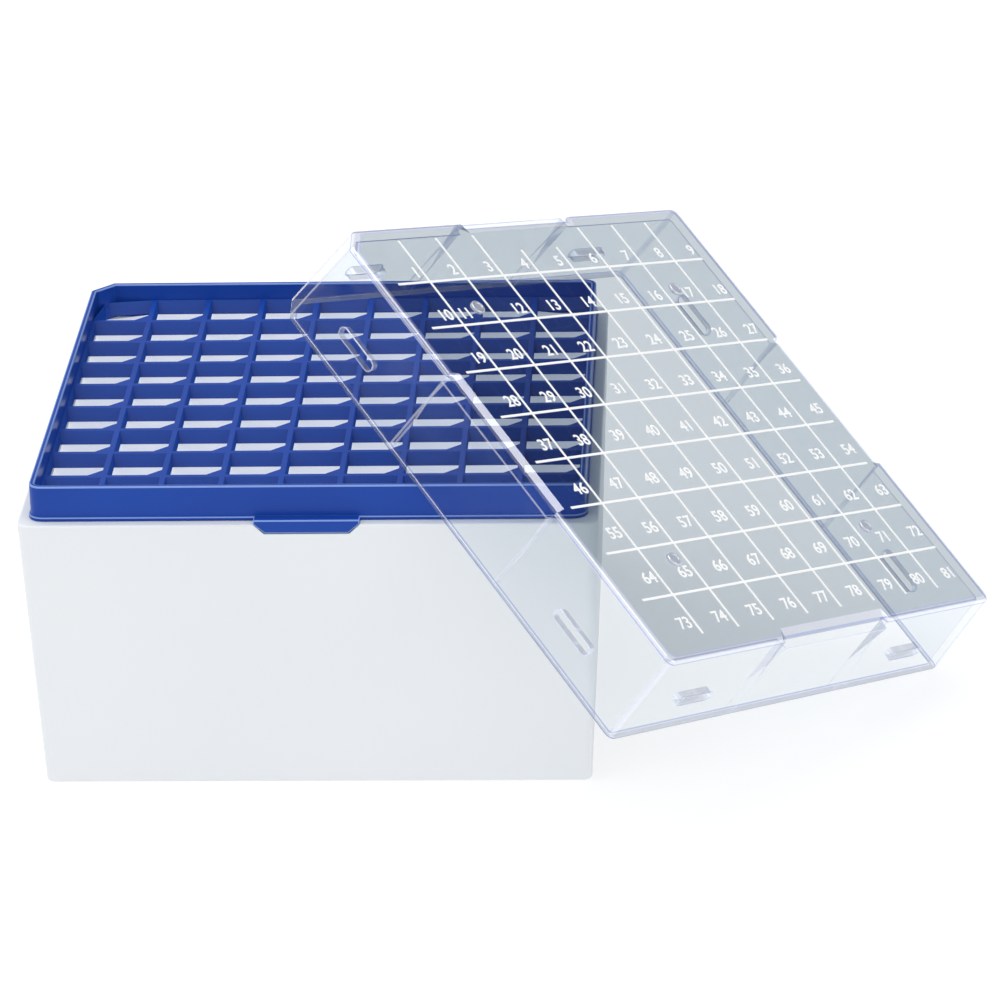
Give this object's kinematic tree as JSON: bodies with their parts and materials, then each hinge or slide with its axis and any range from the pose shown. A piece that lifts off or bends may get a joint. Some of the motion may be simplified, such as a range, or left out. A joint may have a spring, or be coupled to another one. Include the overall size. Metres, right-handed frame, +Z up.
{
  "type": "cryogenic storage box",
  "caption": "Square freezer storage box with a gridded vial insert and a clear numbered lid, shown taken off and leaning on one corner.",
  "frame": {"origin": "centre of the base's underside", "axes": "+Z up out of the box, -Y towards the front of the box, where the rim notch nearest the viewer is"},
  "size_m": [0.2252, 0.1858, 0.125],
  "materials": {
    "white_base": "smooth moulded polypropylene",
    "blue_insert": "satin moulded polypropylene",
    "clear_lid": "clear polycarbonate",
    "white_print": "screen printed ink"
  },
  "bodies": {
    "base": {"base_shell": "white_base", "well_rows": "white_base", "well_columns": "white_base"},
    "insert": {"collar": "blue_insert", "grid_rows": "blue_insert", "grid_columns": "blue_insert", "cell_webs": "blue_insert"},
    "lid": {"lid_shell": "clear_lid", "lid_studs": "clear_lid", "lid_grid_lines": "white_print"}
  },
  "joints": [
    {"name": "insert_lift", "type": "slide", "parent": "base", "child": "insert", "axis": [0, 0, 1], "range_m": [0, 0.03]},
    {"name": "lid_lift", "type": "slide", "parent": "insert", "child": "lid", "axis": [0, 0, 1], "range_m": [0, 0.12]}
  ]
}
